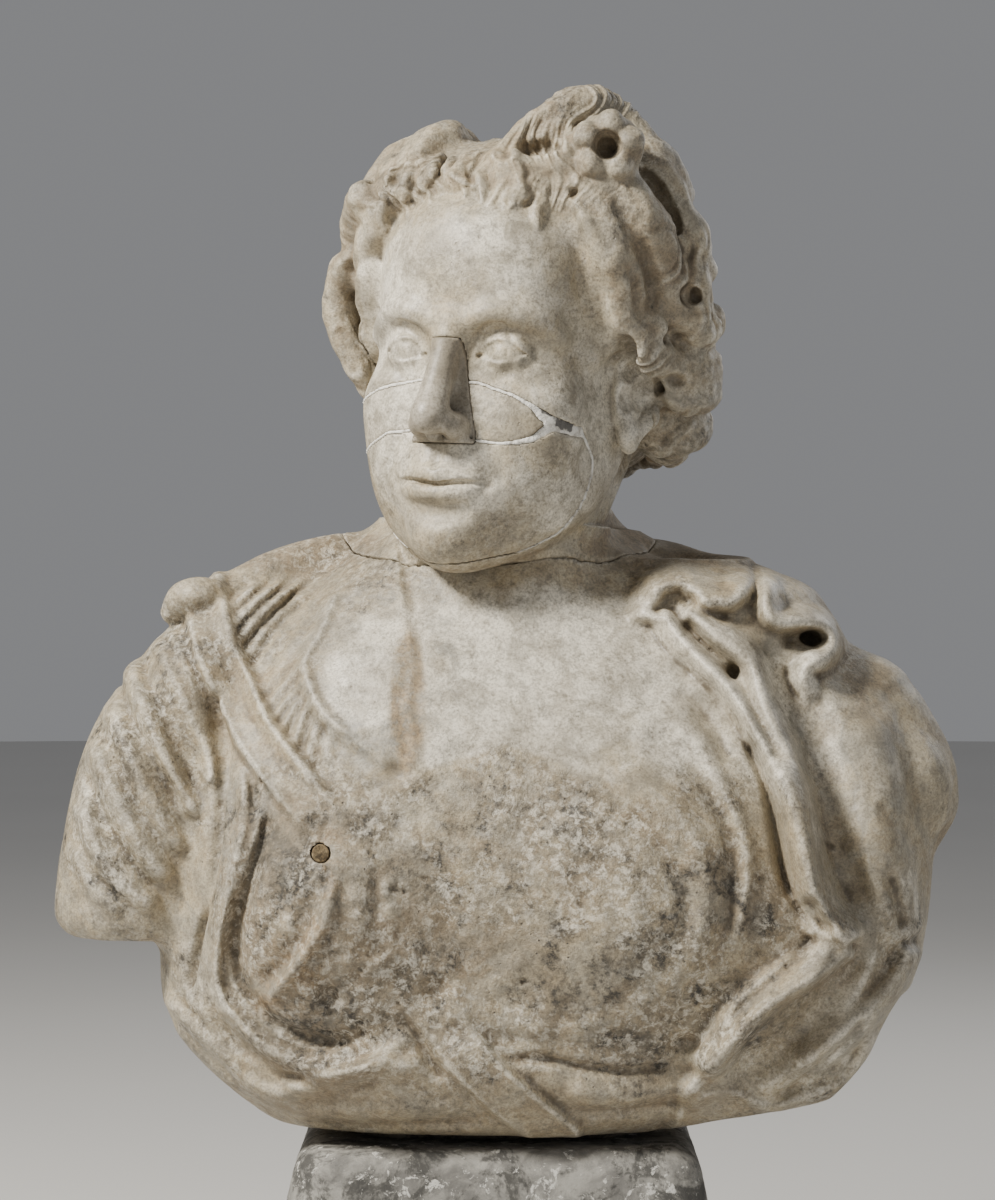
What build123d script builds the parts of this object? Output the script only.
"""Weathered marble bust on a stone block: a carved head let into draped shoulders, with old repairs.

Millimetres, +Z up, the face towards -Y, origin at the centre of the block's underside.
"Left" and "right" in names are as a person facing the bust sees them: left is -X.
"""

import os
from math import cos, radians, sin

from build123d import *

# Driving dimensions: heights above the ground
SOCLE_HEIGHT = 150.0
BED_THICKNESS = 8.0
BUST_BASE = SOCLE_HEIGHT + BED_THICKNESS
SHOULDER_TOP = 490.0

# Stone block, wider at the foot
SOCLE_FOOT = (300.0, 250.0)
SOCLE_TOP = (240.0, 200.0)
SOCLE_CORNER = 24.0
SOCLE_EDGE = 6.0
BED_SIZE = (168.0, 106.0)
BED_CORNER = 30.0

# Trunk sections: height, centre x, centre y, half width, half depth
TRUNK = (
    (BUST_BASE, 2.0, -4.0, 128.0, 74.0),
    (200.0, 10.0, -12.0, 184.0, 106.0),
    (265.0, 12.0, -18.0, 212.0, 124.0),
    (335.0, 8.0, -16.0, 214.0, 128.0),
    (400.0, 4.0, -6.0, 208.0, 116.0),
    (450.0, 2.0, 6.0, 176.0, 98.0),
    (SHOULDER_TOP, 2.0, 14.0, 104.0, 80.0),
)
# Arm stumps, from the shoulder down
LEFT_ARM = (
    (280.0, -217.0, -6.0, 52.0, 54.0),
    (360.0, -200.0, -4.0, 56.0, 62.0),
    (430.0, -172.0, 2.0, 48.0, 60.0),
    (478.0, -150.0, 8.0, 30.0, 44.0),
)
MANTLE = (
    (168.0, 142.0, -6.0, 62.0, 52.0),
    (225.0, 160.0, -14.0, 84.0, 88.0),
    (290.0, 168.0, -16.0, 86.0, 104.0),
    (360.0, 180.0, -8.0, 84.0, 94.0),
    (430.0, 158.0, 2.0, 72.0, 80.0),
    (484.0, 128.0, 8.0, 44.0, 58.0),
)
RIGHT_STUMP_END = (248.0, 0.0, 356.0)
RIGHT_STUMP_RADIUS = 34.0

# Thick rolls of cloth: centre, direction in the XZ plane, radius, half length
ROLLS = (
    ((150.0, -92.0, 372.0), (95.0, 0.0, -210.0), 30.0, 132.0),
    ((150.0, -88.0, 232.0), (-110.0, 0.0, -110.0), 30.0, 84.0),
    ((-84.0, -74.0, 184.0), (110.0, 0.0, -12.0), 26.0, 104.0),
    ((-186.0, -34.0, 470.0), (30.0, 0.0, 14.0), 17.0, 34.0),
    ((136.0, -36.0, 472.0), (100.0, 0.0, 10.0), 24.0, 50.0),
)

# Band over the left shoulder, down to the middle of the base
BAND_CENTRE = (-70.0, -70.0, 300.0)
BAND_SIZE = (54.0, 150.0, 420.0)
BAND_TILT = -32.0
BAND_PROUD = 6.0

# Two hollows cut in the back, with a pillar left between them
HOLLOW_SIZE = (92.0, 76.0, 180.0)
HOLLOW_CENTRE_X = 92.0
HOLLOW_CENTRE_Y = 92.0
HOLLOW_CENTRE_Z = 300.0
HOLLOW_CORNER = 26.0

# Neck joint: a tapered tenon under the neck, in a socket that is larger by the mortar,
# and the neck's own sections, given as the trunk's are
NECK_X, NECK_Y = 2.0, 12.0
TENON_FOOT = 392.0
TENON_FOOT_RADII = (48.0, 40.0)
TENON_TOP_RADII = (78.0, 62.0)
MORTAR = 4.0
NECK = (
    (SHOULDER_TOP, 2.0, 12.0, 76.0, 61.0),
    (524.0, 4.0, 8.0, 61.0, 60.0),
    (560.0, 6.0, 6.0, 58.0, 57.0),
    (610.0, 8.0, 6.0, 53.0, 52.0),
)

# Iron bars and the lead round them
NECK_DOWEL_RADIUS = 9.0
NECK_DOWEL_SPAN = (330.0, 470.0)
NECK_LEAD_RADIUS = 13.0
SOCLE_DOWEL_RADIUS = 11.0
SOCLE_DOWEL_SPAN = (80.0, 240.0)
SOCLE_LEAD_RADIUS = 16.0
LEAD_END = 4.0

# Filled hole in the chest
PLUG_X, PLUG_Z = -103.0, 328.0
PLUG_RADIUS = 5.0
PLUG_BACK_Y = -96.0

# Head frame: turned towards -X and leaning a little; local z = 0 at the eyes
HEAD_CENTRE = (10.0, -8.0, 622.0)
HEAD_TURN = -25.0
HEAD_LEAN = 3.0
HEAD = Plane(Location(HEAD_CENTRE, (0, HEAD_LEAN, HEAD_TURN)))
SKULL_RADIUS, SKULL_HALF_LENGTH = 92.0, 112.0
SKULL_CENTRE = (0.0, 12.0, 38.0)
FACE_RADIUS, FACE_HALF_HEIGHT = 74.0, 106.0
FACE_CENTRE = (0.0, -24.0, -22.0)

# Curls: two arches from ear to ear over the head, each given as y, half width, height,
# and a row round the nape
CURL_RADIUS = 26.0
ARCHES = ((-16.0, 92.0, 106.0), (40.0, 84.0, 92.0))
ARCH_CURLS, ARCH_START, ARCH_END = 13, -42.0, 222.0
NAPE_WIDTH, NAPE_DEPTH, NAPE_Z = 84.0, 92.0, -12.0
NAPE_CURLS, NAPE_START, NAPE_END = 6, 25.0, 155.0

# Brows, lips and chin, in the head frame: centre, radius and half length along X
FEATURES = (
    ((-28.0, -82.0, 19.0), 12.0, 26.0),
    ((28.0, -82.0, 19.0), 12.0, 26.0),
    ((0.0, -84.0, -73.0), 9.0, 25.0),
    ((0.0, -79.0, -86.0), 10.0, 21.0),
    ((0.0, -66.0, -107.0), 19.0, 25.0),
)

# Eyes in their sockets, and ears
EYE_X, EYE_Y, EYE_RADIUS = 30.0, -77.0, 15.0
SOCKET_Y, SOCKET_RADIUS, SOCKET_HALF_WIDTH = -96.0, 12.0, 22.0
EAR_CENTRE, EAR_RADIUS, EAR_HALF_HEIGHT = (76.0, 4.0, -26.0), 11.0, 31.0

# Breaks across the face, in the head frame
BREAK_BACK = -46.0
BREAK_TOP = -28.0
BREAK_LOW = -64.0
FILL = 1.2
NOSE_TOP, NOSE_FOOT = 6.0, -52.0
NOSE_TOP_HALF, NOSE_FOOT_HALF = 9.0, 17.0
NOSE_BED = -86.0
NOSE_ROOT_FRONT, NOSE_TIP = -99.0, -122.0
RIDGE_SHARE = 0.55
NOSE_PIN_RADIUS, NOSE_PIN_Z = 2.5, -20.0
NOSE_PIN_SPAN = (-98.0, -56.0)
FACE_PIN_RADIUS = 3.0
FACE_PIN_SPAN = (-70.0, -14.0)
FACE_PIN_X, FACE_PIN_Z = 20.0, -92.0
FAR = 200.0


def elliptical_loft(sections, growth=0.0):
    """A smooth body through ellipses, each given as height, centre x, centre y, half width, half depth."""
    with BuildPart() as body:
        for height, x, y, half_width, half_depth in sections:
            with BuildSketch(Plane.XY.offset(height)):
                with Locations((x, y)):
                    Ellipse(half_width + growth, half_depth + growth)
        loft()
    return body.part


def spheroid(centre, axis, radius, half_length):
    """An ellipsoid of revolution about the line through centre along axis."""
    normal = (1, 0, 0) if axis[0] == 0 else (axis[2], 0, -axis[0])
    plane = Plane(origin=centre, x_dir=axis, z_dir=normal)
    with BuildPart() as body:
        with BuildSketch(plane):
            with BuildLine():
                EllipticalCenterArc((0, 0), half_length, radius, start_angle=0, arc_size=180)
                Line((-half_length, 0), (half_length, 0))
            make_face()
        revolve(axis=Axis(centre, axis))
    return body.part


def tapered_tenon(growth=0.0):
    """The neck's tenon, or with growth its socket, which is deeper and wider by that much."""
    foot = TENON_FOOT - growth
    with BuildPart() as body:
        for height, radii in ((foot, TENON_FOOT_RADII), (SHOULDER_TOP, TENON_TOP_RADII)):
            with BuildSketch(Plane.XY.offset(height)):
                with Locations((NECK_X, NECK_Y)):
                    Ellipse(radii[0] + growth, radii[1] + growth)
        loft(ruled=True)
    return body.part


def upright_rod(x, y, span, radius):
    """A round bar along Z between two heights."""
    with BuildPart() as rod:
        with BuildSketch(Plane.XY.offset(span[0])):
            with Locations((x, y)):
                Circle(radius)
        extrude(amount=span[1] - span[0])
    return rod.part


def level_rod(x, z, span, radius):
    """A round bar along Y between two places, at one x and z."""
    with BuildPart() as rod:
        with BuildSketch(Plane(origin=(x, span[0], z), x_dir=(1, 0, 0), z_dir=(0, 1, 0))):
            Circle(radius)
        extrude(amount=span[1] - span[0])
    return rod.part


def block(low, high):
    """A box between two corners."""
    with BuildPart() as body:
        with Locations(tuple((a + b) / 2 for a, b in zip(low, high))):
            Box(*(b - a for a, b in zip(low, high)))
    return body.part


def back_hollow(side):
    """One of the two rounded recesses in the back."""
    with BuildPart() as hollow:
        with Locations((side * HOLLOW_CENTRE_X, HOLLOW_CENTRE_Y, HOLLOW_CENTRE_Z)):
            Box(*HOLLOW_SIZE)
        fillet(hollow.edges().filter_by(Axis.Y), radius=HOLLOW_CORNER)
        fillet(hollow.faces().sort_by(Axis.Y)[0].edges(), radius=HOLLOW_CORNER / 2)
    return hollow.part


def nose_wedge(root_front, tip_front, ridge_share):
    """A wedge standing on the nose's bed, narrow at the root and wide at the foot."""
    with BuildPart() as wedge:
        for z, half, front in (
            (NOSE_FOOT, NOSE_FOOT_HALF, tip_front),
            (NOSE_TOP, NOSE_TOP_HALF, root_front),
        ):
            ridge = half * ridge_share
            outline = ((-half, NOSE_BED), (half, NOSE_BED), (ridge, front), (-ridge, front))
            with BuildSketch(Plane.XY.offset(z)):
                with BuildLine():
                    Polyline(*outline, close=True)
                make_face()
        loft(ruled=True)
    return wedge.part


def placed(part, *cuts):
    """A piece made in the head frame, put in its place, less whatever is given in the bust's frame."""
    with BuildPart(HEAD) as piece:
        add(part)
        for cut in cuts:
            add(cut.moved(HEAD.location.inverse()), mode=Mode.SUBTRACT)
    return piece.part


def write(part, name):
    """Labels a finished piece and writes its file."""
    part.label = name
    export_step(part, f"parts/{name}.step")


os.makedirs("parts", exist_ok=True)

# Stone block with its dowel hole
with BuildPart() as socle:
    for height, size in ((0.0, SOCLE_FOOT), (SOCLE_HEIGHT, SOCLE_TOP)):
        with BuildSketch(Plane.XY.offset(height)):
            RectangleRounded(*size, SOCLE_CORNER)
    loft(ruled=True)
    chamfer(socle.faces().sort_by(Axis.Z)[-1].edges(), length=SOCLE_EDGE)
    add(
        upright_rod(0, 0, (SOCLE_DOWEL_SPAN[0] - LEAD_END, SOCLE_HEIGHT), SOCLE_LEAD_RADIUS),
        mode=Mode.SUBTRACT,
    )
write(socle.part, "socle")

# Mortar bed under the bust
with BuildPart() as socle_mortar_bed:
    with BuildSketch(Plane.XY.offset(SOCLE_HEIGHT)):
        RectangleRounded(*BED_SIZE, BED_CORNER)
        Circle(SOCLE_DOWEL_RADIUS, mode=Mode.SUBTRACT)
    extrude(amount=BED_THICKNESS)
write(socle_mortar_bed.part, "socle_mortar_bed")

# Iron bar between block and bust, and the lead round it in each
with BuildPart() as socle_dowel:
    add(upright_rod(0, 0, SOCLE_DOWEL_SPAN, SOCLE_DOWEL_RADIUS))
write(socle_dowel.part, "socle_dowel")

with BuildPart() as socle_dowel_lead:
    add(upright_rod(0, 0, (SOCLE_DOWEL_SPAN[0] - LEAD_END, SOCLE_HEIGHT), SOCLE_LEAD_RADIUS))
    add(upright_rod(0, 0, (BUST_BASE, SOCLE_DOWEL_SPAN[1] + LEAD_END), SOCLE_LEAD_RADIUS))
    add(socle_dowel.part, mode=Mode.SUBTRACT)
write(socle_dowel_lead.part, "socle_dowel_lead")

# The torso's outer form: trunk, arm stumps, mantle, band and hollowed back
with BuildPart() as band:
    with Locations(Location(BAND_CENTRE, (0, BAND_TILT, 0))):
        Box(*BAND_SIZE)
    add(elliptical_loft(TRUNK, BAND_PROUD), mode=Mode.INTERSECT)

with BuildPart() as torso_form:
    add(elliptical_loft(TRUNK))
    add(elliptical_loft(LEFT_ARM))
    add(elliptical_loft(MANTLE))
    with Locations(RIGHT_STUMP_END):
        Sphere(RIGHT_STUMP_RADIUS)
    for roll in ROLLS:
        add(spheroid(*roll))
    add(band.part)
    for side in (-1, 1):
        add(back_hollow(side), mode=Mode.SUBTRACT)

# Torso, with the neck socket and the dowel holes cut in it
neck_hole = upright_rod(
    NECK_X, NECK_Y, (NECK_DOWEL_SPAN[0] - LEAD_END, TENON_FOOT - MORTAR), NECK_LEAD_RADIUS
)
base_hole = upright_rod(0, 0, (BUST_BASE, SOCLE_DOWEL_SPAN[1] + LEAD_END), SOCLE_LEAD_RADIUS)
plug_bar = level_rod(PLUG_X, PLUG_Z, (-FAR, PLUG_BACK_Y), PLUG_RADIUS)
with BuildPart() as torso:
    add(torso_form.part)
    for cut in (tapered_tenon(MORTAR), neck_hole, base_hole, plug_bar):
        add(cut, mode=Mode.SUBTRACT)
write(torso.part, "torso")

with BuildPart() as chest_hole_plug:
    add(plug_bar)
    add(torso_form.part, mode=Mode.INTERSECT)
write(chest_hole_plug.part, "chest_hole_plug")

# Iron bar in the neck joint
with BuildPart() as neck_dowel:
    add(upright_rod(NECK_X, NECK_Y, NECK_DOWEL_SPAN, NECK_DOWEL_RADIUS))
write(neck_dowel.part, "neck_dowel")

# Mortar between tenon and socket
with BuildPart() as neck_joint_mortar:
    add(tapered_tenon(MORTAR))
    add(torso_form.part, mode=Mode.INTERSECT)
    add(tapered_tenon(), mode=Mode.SUBTRACT)
    add(neck_dowel.part, mode=Mode.SUBTRACT)
write(neck_joint_mortar.part, "neck_joint_mortar")

# Lead round that bar, in the torso and in the neck
neck_bore = upright_rod(
    NECK_X, NECK_Y, (TENON_FOOT, NECK_DOWEL_SPAN[1] + LEAD_END), NECK_LEAD_RADIUS
)
with BuildPart() as neck_dowel_lead:
    add(neck_hole)
    add(neck_bore)
    add(neck_dowel.part, mode=Mode.SUBTRACT)
write(neck_dowel_lead.part, "neck_dowel_lead")

# The whole head in its own frame: skull, face, features and curls
with BuildPart() as head_form:
    add(spheroid(SKULL_CENTRE, (0, 1, 0), SKULL_RADIUS, SKULL_HALF_LENGTH))
    add(spheroid(FACE_CENTRE, (0, 0, 1), FACE_RADIUS, FACE_HALF_HEIGHT))
    for side in (-1, 1):
        add(
            spheroid((side * EYE_X, SOCKET_Y, 0), (1, 0, 0), SOCKET_RADIUS, SOCKET_HALF_WIDTH),
            mode=Mode.SUBTRACT,
        )
        with Locations((side * EYE_X, EYE_Y, 0)):
            Sphere(EYE_RADIUS)
        ear_x, ear_y, ear_z = EAR_CENTRE
        add(spheroid((side * ear_x, ear_y, ear_z), (0, 0, 1), EAR_RADIUS, EAR_HALF_HEIGHT))
    for centre, radius, half_length in FEATURES:
        add(spheroid(centre, (1, 0, 0), radius, half_length))
    for y, half_width, height in ARCHES:
        for i in range(ARCH_CURLS):
            angle = radians(ARCH_START + (ARCH_END - ARCH_START) * i / (ARCH_CURLS - 1))
            with Locations((half_width * cos(angle), y, SKULL_CENTRE[2] + height * sin(angle))):
                Sphere(CURL_RADIUS)
    for i in range(NAPE_CURLS):
        angle = radians(NAPE_START + (NAPE_END - NAPE_START) * i / (NAPE_CURLS - 1))
        with Locations((NAPE_WIDTH * cos(angle), SKULL_CENTRE[1] + NAPE_DEPTH * sin(angle), NAPE_Z)):
            Sphere(CURL_RADIUS)

# The broken front of the face, the nose's bed and the pins that hold the repairs
front_low = (-FAR, -FAR, -FAR)
lost_front = block(front_low, (FAR, BREAK_BACK, BREAK_TOP))
nose_bed = nose_wedge(-FAR, -FAR, 1.0)
nose_pin_bar = level_rod(0, NOSE_PIN_Z, NOSE_PIN_SPAN, NOSE_PIN_RADIUS)
face_pin_bars = [
    level_rod(side * FACE_PIN_X, FACE_PIN_Z, FACE_PIN_SPAN, FACE_PIN_RADIUS) for side in (-1, 1)
]

# Skull, hair and neck in one block
neck = elliptical_loft(NECK)
with BuildPart() as broken_head:
    add(head_form.part)
    for cut in (lost_front, nose_bed, nose_pin_bar):
        add(cut, mode=Mode.SUBTRACT)

with BuildPart() as head_block:
    add(placed(broken_head.part))
    add(neck)
    add(tapered_tenon())
    for bar in face_pin_bars:
        add(placed(bar), mode=Mode.SUBTRACT)
    add(neck_bore, mode=Mode.SUBTRACT)
write(head_block.part, "head_block")

# Three broken pieces of the face, set back with a thin filled joint round each
fragment_boxes = {
    "left_cheek_fragment": block(
        (-FAR, -FAR, BREAK_LOW), (-FILL / 2, BREAK_BACK - FILL, BREAK_TOP - FILL)
    ),
    "right_cheek_fragment": block(
        (FILL / 2, -FAR, BREAK_LOW), (FAR, BREAK_BACK - FILL, BREAK_TOP - FILL)
    ),
    "lower_face_fragment": block(front_low, (FAR, BREAK_BACK - FILL, BREAK_LOW - FILL)),
}
for name, box in fragment_boxes.items():
    with BuildPart() as fragment:
        add(head_form.part)
        add(box, mode=Mode.INTERSECT)
        for cut in (nose_bed, *face_pin_bars):
            add(cut, mode=Mode.SUBTRACT)
    write(placed(fragment.part, neck), name)

with BuildPart() as local_fill:
    add(head_form.part)
    add(lost_front, mode=Mode.INTERSECT)
    for cut in (*fragment_boxes.values(), nose_bed, *face_pin_bars):
        add(cut, mode=Mode.SUBTRACT)
write(placed(local_fill.part, neck), "face_joint_fill")

# The replaced nose, with a flat back, and the pins
with BuildPart() as nose_restoration:
    add(nose_wedge(NOSE_ROOT_FRONT, NOSE_TIP, RIDGE_SHARE))
    add(nose_pin_bar, mode=Mode.SUBTRACT)
write(placed(nose_restoration.part), "nose_restoration")
write(placed(nose_pin_bar), "nose_pin")

with BuildPart() as lower_face_pins:
    for bar in face_pin_bars:
        add(bar)
write(placed(lower_face_pins.part), "lower_face_pins")
